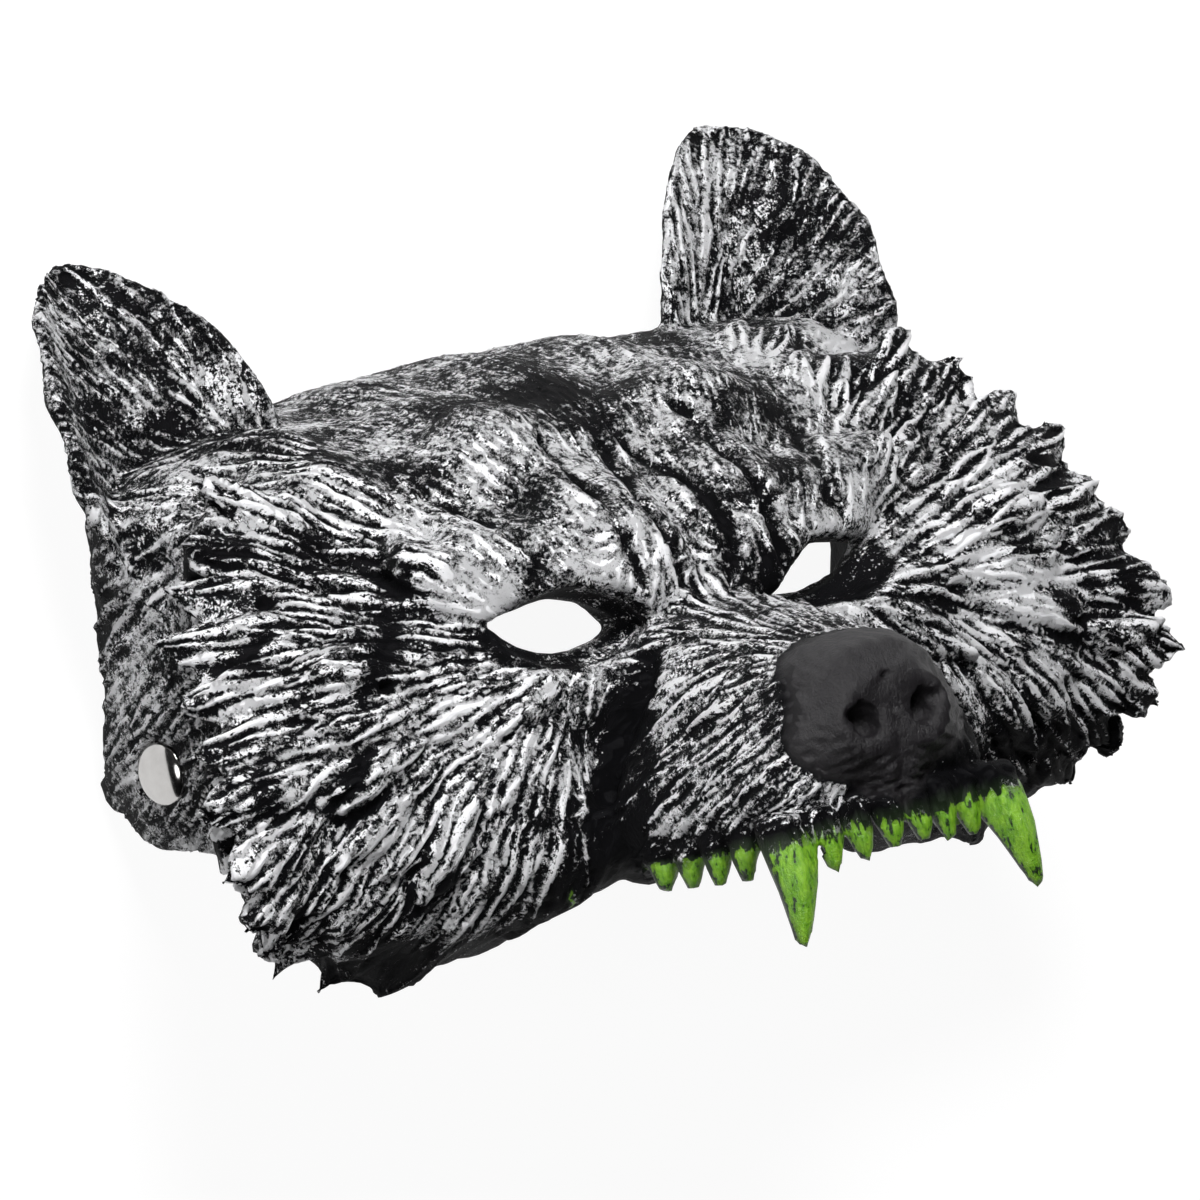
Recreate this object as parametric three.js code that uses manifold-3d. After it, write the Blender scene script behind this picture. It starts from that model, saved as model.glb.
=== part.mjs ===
// Wolf half mask, moulded in one piece of soft foam and lying face up on the edge of its open back.
// Millimetres. X points to the wearer's left, Y to the top of the head and Z straight out of the face.
// The origin is on the table, under the middle of the mask's box.
import * as THREE from 'three';
import { mergeVertices } from 'three/addons/utils/BufferGeometryUtils.js';
import Module from 'manifold-3d';

const wasm = await Module();
wasm.setup();

// Driving sizes
const FOAM_WALL = 6.5;
const EYE_LEVEL = 95;
const HEAD_HALF_WIDTH = 103;
const HEAD_HALF_HEIGHT = 66;
const HEAD_DEPTH = 88;
const MUZZLE_ROOT_HALF_WIDTH = 38;
const MUZZLE_TIP_HALF_WIDTH = 25;
const MUZZLE_TIP_DEPTH = 146;
const EYE_SPACING = 70;
const EYE_HOLE_LENGTH = 37;
const EYE_HOLE_HEIGHT = 13;
const EYE_SLANT = 0.24;
const EAR_HALF_WIDTH = 32;
const EAR_CUP_DEPTH = 17;
const EAR_CLEARANCE = 0.6;
const CANINE_LENGTH = 23.5;
const RIVET_RADIUS = 7.5;
const RIVET_SHANK_RADIUS = 2.2;
const RIVET_DOME_HEIGHT = 3.2;
const TOUCH_GAP = 0.3;
const CHIN_HALF_WIDTH = 52;
const CHIN_TOP = 94;
const PALATE_HALF_WIDTH = 21;
const PALATE_TOP = 136;
const CHIN_EDGE = -44;
const ARCH_MIDDLE = 14;
const ARCH_HALF_LENGTH = 30;
const ARCH_HEIGHT = 13;

// Fineness of the solids
const FACE_ROWS = 19;
const FACE_COLUMNS = 58;
const SNOUT_ROWS = 15;
const SNOUT_COLUMNS = 26;
const LINING_ROWS = 10;
const LINING_COLUMNS = 22;
const RIVET_SIDES = 12;

const vec = (x, y, z) => new THREE.Vector3(x, y, z);
const mix = THREE.MathUtils.lerp;
const clamp = THREE.MathUtils.clamp;
const smooth = THREE.MathUtils.smoothstep;

// A number between 0 and 1 that is always the same for the same lock of fur
function chance(i, j) {
  const wave = Math.sin(i * 127.1 + j * 311.7) * 43758.5453;
  return wave - Math.floor(wave);
}

// Distances to simple forms, negative inside, and how two forms melt into each other

function blob(p, middle, radii, roundness = 2) {
  const x = (p.x - middle.x) / radii.x;
  const y = (p.y - middle.y) / radii.y;
  const z = (p.z - middle.z) / radii.z;
  const n = roundness;
  const sum = Math.abs(x) ** n + Math.abs(y) ** n + Math.abs(z) ** n;
  const g = Math.max(sum, 1e-9) ** (1 / n);
  const slope = Math.hypot(
    Math.abs(x / g) ** (n - 1) / radii.x,
    Math.abs(y / g) ** (n - 1) / radii.y,
    Math.abs(z / g) ** (n - 1) / radii.z,
  );
  return (g - 1) / slope;
}

function roll(p, from, to, fromRadius, toRadius) {
  const along = to.clone().sub(from);
  const offset = p.clone().sub(from);
  const t = clamp(offset.dot(along) / along.lengthSq(), 0, 1);
  return offset.addScaledVector(along, -t).length() - mix(fromRadius, toRadius, t);
}

function melt(a, b, reach) {
  const h = Math.max(reach - Math.abs(a - b), 0) / reach;
  return Math.min(a, b) - h * h * reach / 4;
}

function hollowOut(a, b, reach) {
  return -melt(-a, b, reach);
}

// The face's forms: both halves are alike

const EYE = vec(EYE_SPACING / 2, 2, EYE_LEVEL);
const NOSE = vec(0, -27, 154);

function muzzleForm(p) {
  const root = vec(0, -24, 80);
  const tip = vec(0, -33, MUZZLE_TIP_DEPTH);
  const along = tip.clone().sub(root);
  const t = clamp(p.clone().sub(root).dot(along) / along.lengthSq(), 0, 1);
  const middle = root.clone().addScaledVector(along, t);
  const halfWidth = mix(MUZZLE_ROOT_HALF_WIDTH, MUZZLE_TIP_HALF_WIDTH, t);
  const halfHeight = mix(31, 20, t);
  return blob(p, middle, vec(halfWidth, halfHeight, 18), 2.3);
}

function headForm(point) {
  const p = vec(Math.abs(point.x), point.y, point.z);
  const skull = blob(p, vec(0, -5, 0), vec(HEAD_HALF_WIDTH, HEAD_HALF_HEIGHT, HEAD_DEPTH), 2.6);
  const cheek = blob(p, vec(80, -22, 80), vec(43, 36, 16), 2.4);
  const jowl = blob(p, vec(68, -44, 66), vec(34, 19, 20), 2.2);
  const temple = blob(p, vec(76, 22, 60), vec(33, 21, 11), 2.2);
  const earRoot = blob(p, vec(72, 37, 26), vec(33, 18, 21), 2.2);
  const lipCorner = roll(p, vec(56, -55, 68), vec(35, -46, 106), 12, 8);
  const cheekFront = blob(p, vec(50, -28, 86), vec(21, 28, 19));
  let form = melt(skull, cheek, 16);
  form = melt(form, earRoot, 12);
  form = melt(form, jowl, 14);
  form = melt(form, lipCorner, 8);
  form = melt(form, cheekFront, 12);
  return melt(form, temple, 12);
}

function faceForm(point) {
  const p = vec(Math.abs(point.x), point.y, point.z);
  const forehead = blob(p, vec(25, 30, 70), vec(22, 20, 13));
  const bridge = roll(p, vec(0, 12, 80), vec(0, -22, 100), 7, 24);
  const browInner = blob(p, vec(16, 16, 90), vec(15, 14, 12));
  const brow = roll(p, vec(12, 10, 98), vec(58, 19, 86), 8.5, 8);
  const lids = blob(p, vec(36, 1, 83), vec(23, 14, 13));
  const underEye = roll(p, vec(26, -15, 97), vec(66, -10, 90), 8, 7);
  let form = melt(headForm(point), forehead, 10);
  form = melt(form, bridge, 16);
  form = melt(form, browInner, 12);
  form = melt(form, brow, 10);
  form = melt(form, lids, 6);
  return melt(form, underEye, 8);
}

function snoutForm(point) {
  const p = vec(Math.abs(point.x), point.y, point.z);
  const lips = blob(p, vec(19, -45, 137), vec(14, 14, 24));
  const lipRoot = blob(p, vec(28, -45, 108), vec(12, 15, 24));
  const form = melt(muzzleForm(p), lipRoot, 10);
  return melt(form, lips, 8);
}

function noseForm(point) {
  const p = vec(Math.abs(point.x), point.y, point.z);
  const pad = blob(p, NOSE, vec(18.5, 15, 14), 2.6);
  const wing = blob(p, vec(11, -34, 158), vec(11, 10, 9));
  const philtrum = roll(p, vec(0, -40, 158), vec(0, -48, 155), 9, 10);
  return melt(melt(pad, wing, 5), philtrum, 6);
}

// Fur in overlapping rows of locks, which run out from the eye to the ruff

const FUR_CENTRE = vec(34, -8, 0);
const FUR_ROWS = [
  { inner: 24, outer: 46, locks: 7, height: 2 },
  { inner: 46, outer: 70, locks: 9, height: 2.5 },
];

function furRelief(point) {
  const x = Math.abs(point.x) - FUR_CENTRE.x;
  const y = point.y - FUR_CENTRE.y;
  const radius = Math.hypot(x, y);
  const turn = Math.atan2(y, x) / Math.PI;
  const onCheek = smooth(Math.abs(point.x), 46, 66) * (1 - smooth(point.z, 104, 120));
  let relief = 0;
  FUR_ROWS.forEach((row, index) => {
    const across = (turn + 1) * row.locks + index * 0.5;
    const lock = Math.floor(across);
    const side = 1 - Math.abs(2 * (across - lock) - 1) ** 1.5;
    const tip = row.outer + 9 * (side - 0.5) + 5 * (chance(lock, index) - 0.5);
    const t = (radius - row.inner) / (tip - row.inner);
    if (t > 0 && t < 1) {
      relief = Math.max(relief, row.height * t * (0.35 + 0.65 * side));
    }
  });
  return relief * onCheek;
}

// Skin folds that climb from between the eyes to the crown

function foldRelief(point) {
  const onBrow = smooth(point.y, 8, 22) * (1 - smooth(Math.abs(point.x), 38, 58));
  const climb = (point.y - 10) / 60;
  const fan = Math.abs(point.x) / (1 + climb * 0.9);
  return 1.3 * Math.cos(fan * 0.36) * onBrow;
}

// Mesh makers

function closedMesh(rings, capStart, capEnd) {
  const points = rings.flat();
  const count = rings[0].length;
  const triangles = [];
  for (let i = 0; i + 1 < rings.length; i += 1) {
    for (let j = 0; j < count; j += 1) {
      const a = i * count + j;
      const b = i * count + ((j + 1) % count);
      triangles.push(a, b, b + count, a, b + count, a + count);
    }
  }
  const last = (rings.length - 1) * count;
  const startHub = points.push(capStart) - 1;
  const endHub = points.push(capEnd) - 1;
  for (let j = 0; j < count; j += 1) {
    const next = (j + 1) % count;
    triangles.push(startHub, next, j);
    triangles.push(endHub, last + j, last + next);
  }
  const geometry = new THREE.BufferGeometry().setFromPoints(points);
  geometry.setIndex(triangles);
  return geometry;
}

function solid(geometry) {
  const bare = geometry.clone();
  bare.deleteAttribute('normal');
  bare.deleteAttribute('uv');
  const merged = mergeVertices(bare, 1e-4);
  const corners = Array.from(merged.index.array);
  const kept = [];
  for (let i = 0; i < corners.length; i += 3) {
    const [a, b, c] = corners.slice(i, i + 3);
    if (a !== b && b !== c && c !== a) {
      kept.push(a, b, c);
    }
  }
  const vertProperties = new Float32Array(merged.attributes.position.array);
  const triVerts = new Uint32Array(kept);
  return new wasm.Manifold(new wasm.Mesh({ numProp: 3, vertProperties, triVerts }));
}

function geometryOf(manifold) {
  const mesh = manifold.getMesh();
  const geometry = new THREE.BufferGeometry();
  geometry.setAttribute('position', new THREE.BufferAttribute(mesh.vertProperties, 3));
  geometry.setIndex(new THREE.BufferAttribute(mesh.triVerts, 1));
  geometry.computeVertexNormals();
  return geometry;
}

// A closed form, found by rays that leave a point inside it: the rows run from the open end to the pole

function rayPoint(shape, turn, tilt) {
  const side = vec(1, 0, 0);
  const up = shape.pole.clone().cross(side).normalize();
  const direction = shape.pole.clone().multiplyScalar(Math.cos(tilt))
    .addScaledVector(side, Math.sin(tilt) * Math.cos(turn))
    .addScaledVector(up, Math.sin(tilt) * Math.sin(turn));
  const probe = (distance) => shape.form(shape.start.clone().addScaledVector(direction, distance));
  const step = 1.5;
  let near = shape.reach;
  while (near > step && probe(near) > 0) {
    near -= step;
  }
  let far = near + step;
  for (let i = 0; i < 12; i += 1) {
    const middle = (near + far) / 2;
    if (probe(middle) > 0) {
      far = middle;
    } else {
      near = middle;
    }
  }
  return shape.start.clone().addScaledVector(direction, near);
}

function tiltAtFloor(shape, turn) {
  let high = 0.9;
  let low = 2.7;
  for (let i = 0; i < 16; i += 1) {
    const middle = (high + low) / 2;
    if (rayPoint(shape, turn, middle).z > shape.floor) {
      high = middle;
    } else {
      low = middle;
    }
  }
  return (high + low) / 2;
}

function dome(shape) {
  const turns = Array.from({ length: shape.columns }, (_, j) => (j + 0.5) / shape.columns * 2 * Math.PI);
  const tilts = turns.map((turn) => shape.lastTilt ?? tiltAtFloor(shape, turn));
  const rings = [];
  for (let i = shape.rows; i >= 1; i -= 1) {
    rings.push(turns.map((turn, j) => {
      const point = rayPoint(shape, turn, tilts[j] * (i / shape.rows));
      const outward = point.clone().sub(shape.start).normalize();
      point.addScaledVector(outward, shape.relief ? shape.relief(point) : 0);
      if (i === shape.rows && shape.floor !== undefined) {
        point.z = shape.floor;
      }
      return point;
    }));
  }
  const openEnd = rings[0].reduce((sum, p) => sum.add(p), vec(0, 0, 0)).divideScalar(shape.columns);
  return outwardSolid(closedMesh(rings, openEnd, rayPoint(shape, 0, 0)));
}

// A lock of fur: a tapering blade with a ridge, sunk at its root and lifted at its tip

function lock(root, tip, outward, width, thickness) {
  const along = tip.clone().sub(root);
  const across = along.clone().cross(outward).normalize();
  const up = across.clone().cross(along).normalize();
  const rings = [];
  const steps = 4;
  for (let i = 0; i < steps; i += 1) {
    const t = i / steps;
    const half = width * 0.5 * (1 - t ** 1.9) * (0.85 + 0.45 * t);
    const high = thickness * (1 - t ** 3);
    const middle = root.clone().addScaledVector(along, t);
    middle.addScaledVector(up, thickness * 0.5 * Math.sin(Math.PI * t));
    rings.push([
      middle.clone().addScaledVector(across, half),
      middle.clone().addScaledVector(up, high),
      middle.clone().addScaledVector(across, -half),
      middle.clone().addScaledVector(up, -high),
    ]);
  }
  return closedMesh(rings, root.clone(), tip.clone());
}

function outwardSolid(geometry) {
  const made = solid(geometry);
  if (made.volume() > 0) {
    return made;
  }
  const flipped = geometry.clone();
  const order = Array.from(flipped.index.array);
  for (let i = 0; i < order.length; i += 3) {
    [order[i], order[i + 1]] = [order[i + 1], order[i]];
  }
  flipped.setIndex(order);
  return solid(flipped);
}

function bothSides(build) {
  return [-1, 1].flatMap((side) => build(side));
}

const ruffLine = new THREE.CatmullRomCurve3([
  vec(88, 50, 58),
  vec(100, 40, 63),
  vec(112, 30, 66),
  vec(122, 15, 73),
  vec(128, -19, 90),
  vec(130, -37, 93),
  vec(122, -51, 85),
  vec(107, -61, 68),
  vec(84, -71, 62),
  vec(60, -70, 68),
]);

function surfaceHeight(x, y) {
  let z = 150;
  while (z > 0 && headForm(vec(x, y, z)) > 0) {
    z -= 0.5;
  }
  return z;
}

const CHEEK_CENTRE = vec(54, -12, 0);
const LOCK_ROWS = [
  { reach: 1.06, count: 14, length: 31, width: 20, thickness: 4.2, lift: null },
  { reach: 0.7, count: 9, length: 28, width: 21, thickness: 4, lift: 3.5 },
];

function cheekLocks(side) {
  const made = [];
  LOCK_ROWS.forEach((row, index) => {
    for (let i = 0; i < row.count; i += 1) {
      const fringe = ruffLine.getPointAt((i + 0.5) / row.count);
      const flat = vec(fringe.x, fringe.y, 0);
      const inward = CHEEK_CENTRE.clone().sub(flat);
      const reach = row.reach - 0.07 * chance(i, 9 + index);
      const tip = CHEEK_CENTRE.clone().addScaledVector(inward, -reach);
      inward.normalize();
      const root = tip.clone().addScaledVector(inward, row.length + 8 * chance(i, 5 + index));
      tip.z = row.lift === null ? fringe.z : surfaceHeight(tip.x, tip.y) + row.lift;
      root.z = surfaceHeight(root.x, root.y) - 4.5;
      const blade = lock(
        vec(root.x * side, root.y, root.z),
        vec(tip.x * side, tip.y, tip.z),
        vec(0.15 * side, 0.05, 1),
        row.width + 3 * chance(i, 3 + index),
        row.thickness,
      );
      made.push(outwardSolid(blade));
    }
  });
  return made;
}

// Ears: cups of foam that open forwards and outwards

const EAR_BASE = vec(79, 41, 31);
const EAR_BEND = vec(87, 78, 35);
const EAR_TIP = vec(88, 102, 6);
const EAR_ROOT_DEPTH = 7;

function ear(side) {
  const outer = (p) => vec(p.x * side, p.y, p.z);
  const line = new THREE.QuadraticBezierCurve3(outer(EAR_BASE), outer(EAR_BEND), outer(EAR_TIP));
  const rings = [];
  const steps = 8;
  const arc = 5;
  for (let i = 0; i < steps; i += 1) {
    const t = i / steps;
    const axis = line.getTangent(t);
    const middle = line.getPoint(t).addScaledVector(axis, -EAR_ROOT_DEPTH * (1 - t) ** 3);
    const opening = vec(-0.12 * side, 0, 1);
    opening.addScaledVector(axis, -opening.dot(axis)).normalize();
    const across = axis.clone().cross(opening).normalize();
    const half = EAR_HALF_WIDTH * (1 - t ** 2.2) ** 0.8 * (0.95 + 0.1 * t);
    const depth = EAR_CUP_DEPTH * (1 - t) ** 0.7 + 1.5;
    const wall = mix(7, 3.5, t);
    const scallop = i % 2 === 0 ? 1.4 : -0.8;
    const sagAt = (s) => -depth * (1 - s * s) * (1 + 0.3 * s * side);
    const ring = [];
    for (let k = 0; k <= arc; k += 1) {
      const s = 1 - 2 * k / arc;
      const edge = half * s + side * scallop * Math.max(0, s * side);
      ring.push(middle.clone().addScaledVector(across, edge).addScaledVector(opening, sagAt(s)));
    }
    for (let k = 0; k <= arc; k += 1) {
      const s = -1 + 2 * k / arc;
      const front = sagAt(s) + wall * (1 - 0.55 * s * s);
      ring.push(middle.clone().addScaledVector(across, half * s * 0.93).addScaledVector(opening, front));
    }
    ring.forEach((point) => {
      point.z = Math.max(point.z, EAR_CLEARANCE);
    });
    rings.push(ring);
  }
  const start = rings[0].reduce((sum, p) => sum.add(p), vec(0, 0, 0)).divideScalar(rings[0].length);
  return [outwardSolid(closedMesh(rings, start, line.getPoint(1)))];
}

// Teeth along the upper lip: each is a curved cone with a blunt keel

function tooth(root, tip, radius, bend) {
  const along = tip.clone().sub(root);
  const across = along.clone().cross(vec(0, 0, 1)).normalize();
  const front = across.clone().cross(along).normalize();
  const rings = [];
  const steps = 4;
  const sides = 5;
  for (let i = 0; i < steps; i += 1) {
    const t = i / steps;
    const size = radius * (1 - t ** 1.5) ** 0.9;
    const middle = root.clone().addScaledVector(along, t);
    middle.addScaledVector(front, bend * Math.sin(Math.PI * t));
    const ring = [];
    for (let k = 0; k < sides; k += 1) {
      const a = k / sides * 2 * Math.PI;
      ring.push(middle.clone()
        .addScaledVector(across, size * Math.cos(a))
        .addScaledVector(front, size * Math.sin(a)));
    }
    rings.push(ring);
  }
  return outwardSolid(closedMesh(rings, root.clone(), tip.clone()));
}

const CANINE_ROOT = vec(27, -50, 155);
const CANINE_LEAN = vec(4.6, -22.5, 5.7).normalize();
const INCISOR_LENGTHS = [9, 10, 11];
const CHEEK_TEETH = 4;

function teeth(side) {
  const made = [];
  const outward = (p) => vec(p.x * side, p.y, p.z);
  const canineTip = CANINE_ROOT.clone().addScaledVector(CANINE_LEAN, CANINE_LENGTH + 4);
  made.push(tooth(outward(CANINE_ROOT), outward(canineTip), 6.8, 2.5));
  INCISOR_LENGTHS.forEach((length, i) => {
    const root = vec(3.9 + 7.2 * i, -50, 161 - 1.4 * i);
    const tip = root.clone().add(vec(0.3 * i, -length - 3, 2));
    made.push(tooth(outward(root), outward(tip), 3.9, 1));
  });
  for (let i = 0; i < CHEEK_TEETH; i += 1) {
    const t = i / (CHEEK_TEETH - 1);
    const root = vec(mix(29, 34, t), mix(-48, -51, t), mix(142, 117, t));
    const tip = root.clone().add(vec(1.5, mix(-15, -11, t), 1));
    made.push(tooth(outward(root), outward(tip), 4.2, 0.5));
  }
  return made;
}

// Openings

const CUT_REACH = 170;
const SOCKET_SIZE = vec(20, 10, 9);
const EYE_RELIEF_SIZE = vec(34, 19, 17.5);
const NOSTRIL_SIZE = vec(3.6, 4.8, 8);
const NOSTRIL_MIDDLE = vec(7.4, -31, 168);
const NOSTRIL_TURN = 0.5;

function slab(points, thickness, place) {
  const shape = new THREE.Shape(points);
  const geometry = new THREE.ExtrudeGeometry(shape, { depth: thickness, bevelEnabled: false, steps: 1 });
  geometry.applyMatrix4(place);
  return outwardSolid(geometry);
}

function mouthCut() {
  const lipLine = new THREE.SplineCurve([
    new THREE.Vector2(-2, -23),
    new THREE.Vector2(4, -24),
    new THREE.Vector2(16, -31),
    new THREE.Vector2(32, -34),
    new THREE.Vector2(46, -48),
    new THREE.Vector2(60, -70),
    new THREE.Vector2(80, -68),
    new THREE.Vector2(104, -58),
    new THREE.Vector2(134, -54),
    new THREE.Vector2(152, -54),
    new THREE.Vector2(182, -52),
  ]);
  const outline = lipLine.getPoints(26);
  outline.push(new THREE.Vector2(182, -140), new THREE.Vector2(-2, -140));
  const place = new THREE.Matrix4().makeBasis(vec(0, 0, 1), vec(0, 1, 0), vec(-1, 0, 0));
  place.setPosition(CUT_REACH, 0, 0);
  return slab(outline, 2 * CUT_REACH, place);
}

// The wearer's own mouth and chin stay free between the cheeks, and the snout is open from below
function chinCut() {
  const right = [
    [CHIN_HALF_WIDTH, -5],
    [CHIN_HALF_WIDTH, CHIN_TOP * 0.55],
    [CHIN_HALF_WIDTH * 0.9, CHIN_TOP * 0.78],
    [CHIN_HALF_WIDTH * 0.66, CHIN_TOP * 0.94],
    [PALATE_HALF_WIDTH, CHIN_TOP],
    [PALATE_HALF_WIDTH * 0.9, PALATE_TOP],
  ].map(([x, z]) => new THREE.Vector2(x, z));
  const left = right.map((p) => new THREE.Vector2(-p.x, p.y)).reverse();
  const place = new THREE.Matrix4().makeBasis(vec(1, 0, 0), vec(0, 0, 1), vec(0, -1, 0));
  place.setPosition(0, CHIN_EDGE, 0);
  return slab([...right, ...left], 100, place);
}

// The side edges lift off the table in a low arch between the ear and the rivet's flap
function edgeArch() {
  const shape = new THREE.Shape().absellipse(ARCH_MIDDLE, 0, ARCH_HALF_LENGTH, ARCH_HEIGHT, 0, 2 * Math.PI);
  const place = new THREE.Matrix4().makeBasis(vec(0, 1, 0), vec(0, 0, 1), vec(1, 0, 0));
  place.setPosition(-CUT_REACH, 0, 0);
  return slab(shape.getPoints(9), 2 * CUT_REACH, place);
}

function eyeSocket(side) {
  const geometry = new THREE.SphereGeometry(1, 16, 10);
  geometry.scale(SOCKET_SIZE.x, SOCKET_SIZE.y, SOCKET_SIZE.z);
  geometry.rotateZ(EYE_SLANT * side);
  geometry.translate(EYE.x * side, EYE.y - 1, EYE.z + 5);
  return [outwardSolid(geometry)];
}

// The foam is thinned from inside around the eye
function eyeRelief(side) {
  const geometry = new THREE.SphereGeometry(1, 10, 7);
  geometry.scale(EYE_RELIEF_SIZE.x, EYE_RELIEF_SIZE.y, EYE_RELIEF_SIZE.z);
  geometry.translate((EYE.x - 3) * side, EYE.y, EYE.z - 22);
  return [outwardSolid(geometry)];
}

function nostril(side) {
  const geometry = new THREE.SphereGeometry(1, 10, 8);
  geometry.scale(NOSTRIL_SIZE.x, NOSTRIL_SIZE.y, NOSTRIL_SIZE.z);
  geometry.rotateZ(-NOSTRIL_TURN * side);
  geometry.translate(NOSTRIL_MIDDLE.x * side, NOSTRIL_MIDDLE.y, NOSTRIL_MIDDLE.z);
  return [outwardSolid(geometry)];
}

function eyeHole(side) {
  const half = EYE_HOLE_LENGTH / 2;
  const outline = [];
  const steps = 7;
  for (let i = 0; i < steps; i += 1) {
    const t = -1 + 2 * i / steps;
    outline.push(new THREE.Vector2(half * t, -EYE_HOLE_HEIGHT * 0.55 * (1 - t * t)));
  }
  for (let i = 0; i < steps; i += 1) {
    const t = 1 - 2 * i / steps;
    outline.push(new THREE.Vector2(half * t, EYE_HOLE_HEIGHT * 0.45 * (1 - t * t)));
  }
  const place = new THREE.Matrix4().makeRotationZ(EYE_SLANT * side);
  place.setPosition(EYE.x * side, EYE.y, 30);
  return [slab(outline, 100, place)];
}

// Rivets: a domed cap outside, a shank through the flap and a washer inside

const RIVET_PLACE = vec(100.8, -14.3, 27.5);
const RIVET_AXIS = vec(0.983, 0, 0.185);
const RIVET_DEPTH = 7.8;
const WASHER_RADIUS = 6;
const WASHER_THICKNESS = 1.2;
const SHANK_LENGTH = 5.6;
const RIVET_RIM = 0.7;
const SEAT_INSIDE = -12;
const SEAT_OUTSIDE = 16;

function turned(profile, side) {
  const points = profile.map(([radius, height]) => new THREE.Vector2(radius, height));
  const geometry = new THREE.LatheGeometry(points, RIVET_SIDES);
  const axis = vec(RIVET_AXIS.x * side, RIVET_AXIS.y, RIVET_AXIS.z).normalize();
  const foot = vec(RIVET_PLACE.x * side, RIVET_PLACE.y, RIVET_PLACE.z).addScaledVector(axis, -RIVET_DEPTH);
  geometry.applyQuaternion(new THREE.Quaternion().setFromUnitVectors(vec(0, 1, 0), axis));
  geometry.translate(foot.x, foot.y, foot.z);
  return outwardSolid(geometry);
}

function rivet(side) {
  const capFoot = WASHER_THICKNESS + SHANK_LENGTH;
  const profile = [
    [0, 0],
    [WASHER_RADIUS, 0],
    [WASHER_RADIUS, WASHER_THICKNESS],
    [RIVET_SHANK_RADIUS, WASHER_THICKNESS],
    [RIVET_SHANK_RADIUS, capFoot],
    [RIVET_RADIUS, capFoot],
  ];
  const arc = 5;
  for (let i = 0; i < arc; i += 1) {
    const angle = i / arc * Math.PI / 2;
    profile.push([RIVET_RADIUS * Math.cos(angle), capFoot + RIVET_RIM + RIVET_DOME_HEIGHT * Math.sin(angle)]);
  }
  profile.push([0, capFoot + RIVET_RIM + RIVET_DOME_HEIGHT]);
  return turned(profile, side);
}

function rivetSeat(side) {
  const inside = WASHER_THICKNESS + TOUCH_GAP;
  const outside = WASHER_THICKNESS + SHANK_LENGTH - TOUCH_GAP;
  const shank = RIVET_SHANK_RADIUS + TOUCH_GAP;
  return turned([
    [0, SEAT_INSIDE],
    [WASHER_RADIUS + TOUCH_GAP, SEAT_INSIDE],
    [WASHER_RADIUS + TOUCH_GAP, inside],
    [shank, inside],
    [shank, outside],
    [RIVET_RADIUS + TOUCH_GAP, outside],
    [RIVET_RADIUS + TOUCH_GAP, SEAT_OUTSIDE],
    [0, SEAT_OUTSIDE],
  ], side);
}

// Assemble the foam moulding

const HEAD_START = vec(0, -10, 24);
const SNOUT_START = vec(0, -31, 126);

const face = dome({
  start: HEAD_START,
  pole: vec(0, 0, 1),
  reach: 150,
  form: faceForm,
  relief: (p) => (furRelief(p) + foldRelief(p)) * smooth(p.z, 0, 14),
  rows: FACE_ROWS,
  columns: FACE_COLUMNS,
  floor: 0,
});
const snout = dome({
  start: SNOUT_START,
  pole: vec(0, -0.13, 1).normalize(),
  reach: 90,
  form: (p) => melt(snoutForm(p), noseForm(p), 3),
  rows: SNOUT_ROWS,
  columns: SNOUT_COLUMNS,
  lastTilt: 2.75,
});
const faceLining = dome({
  start: HEAD_START,
  pole: vec(0, 0, 1),
  reach: 130,
  form: (p) => headForm(p) + FOAM_WALL,
  rows: LINING_ROWS,
  columns: LINING_COLUMNS,
  floor: -6,
});
const snoutLining = dome({
  start: SNOUT_START,
  pole: vec(0, -0.13, 1).normalize(),
  reach: 80,
  form: (p) => snoutForm(p) + FOAM_WALL,
  rows: 8,
  columns: 16,
  lastTilt: 2.75,
});

let foam = face.add(snout);
bothSides(cheekLocks).forEach((part) => {
  foam = foam.add(part);
});
bothSides(ear).forEach((part) => {
  foam = foam.add(part);
});
foam = foam.subtract(faceLining).subtract(snoutLining);
foam = foam.subtract(mouthCut()).subtract(chinCut()).subtract(edgeArch());
[eyeSocket, eyeRelief, eyeHole, nostril].flatMap(bothSides).forEach((part) => {
  foam = foam.subtract(part);
});
bothSides(teeth).forEach((part) => {
  foam = foam.add(part);
});
[-1, 1].forEach((side) => {
  foam = foam.subtract(rivetSeat(side));
});

const group = new THREE.Group();
const foamPaint = new THREE.MeshStandardMaterial({ color: 0x6a6a70, roughness: 0.7, metalness: 0.1 });
const rivetMetal = new THREE.MeshStandardMaterial({ color: 0xc8c8cc, roughness: 0.2, metalness: 1 });

const maskMesh = new THREE.Mesh(geometryOf(foam), foamPaint);
maskMesh.name = 'mask';
group.add(maskMesh);

[['rivet_right', -1], ['rivet_left', 1]].forEach(([name, side]) => {
  const mesh = new THREE.Mesh(geometryOf(rivet(side)), rivetMetal);
  mesh.name = name;
  group.add(mesh);
});

const box = new THREE.Box3().setFromObject(group);
group.position.y = -(box.min.y + box.max.y) / 2;

export default group;
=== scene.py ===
"""Wolf half mask in moulded foam: carved fur, black paint, and silver rubbed over the ridges.

Forms are worked out in millimetres in the face's own frame: x to the wearer's left, y to the top of the
head, z out of the face, with the back edge at z = 0. Most tables describe one half of the face, and the
points are folded onto it. Blender gets metres in the CAD model's frame.
"""
import itertools
import math

import bpy
import numpy as np
from mathutils import Matrix, Vector, kdtree


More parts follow.
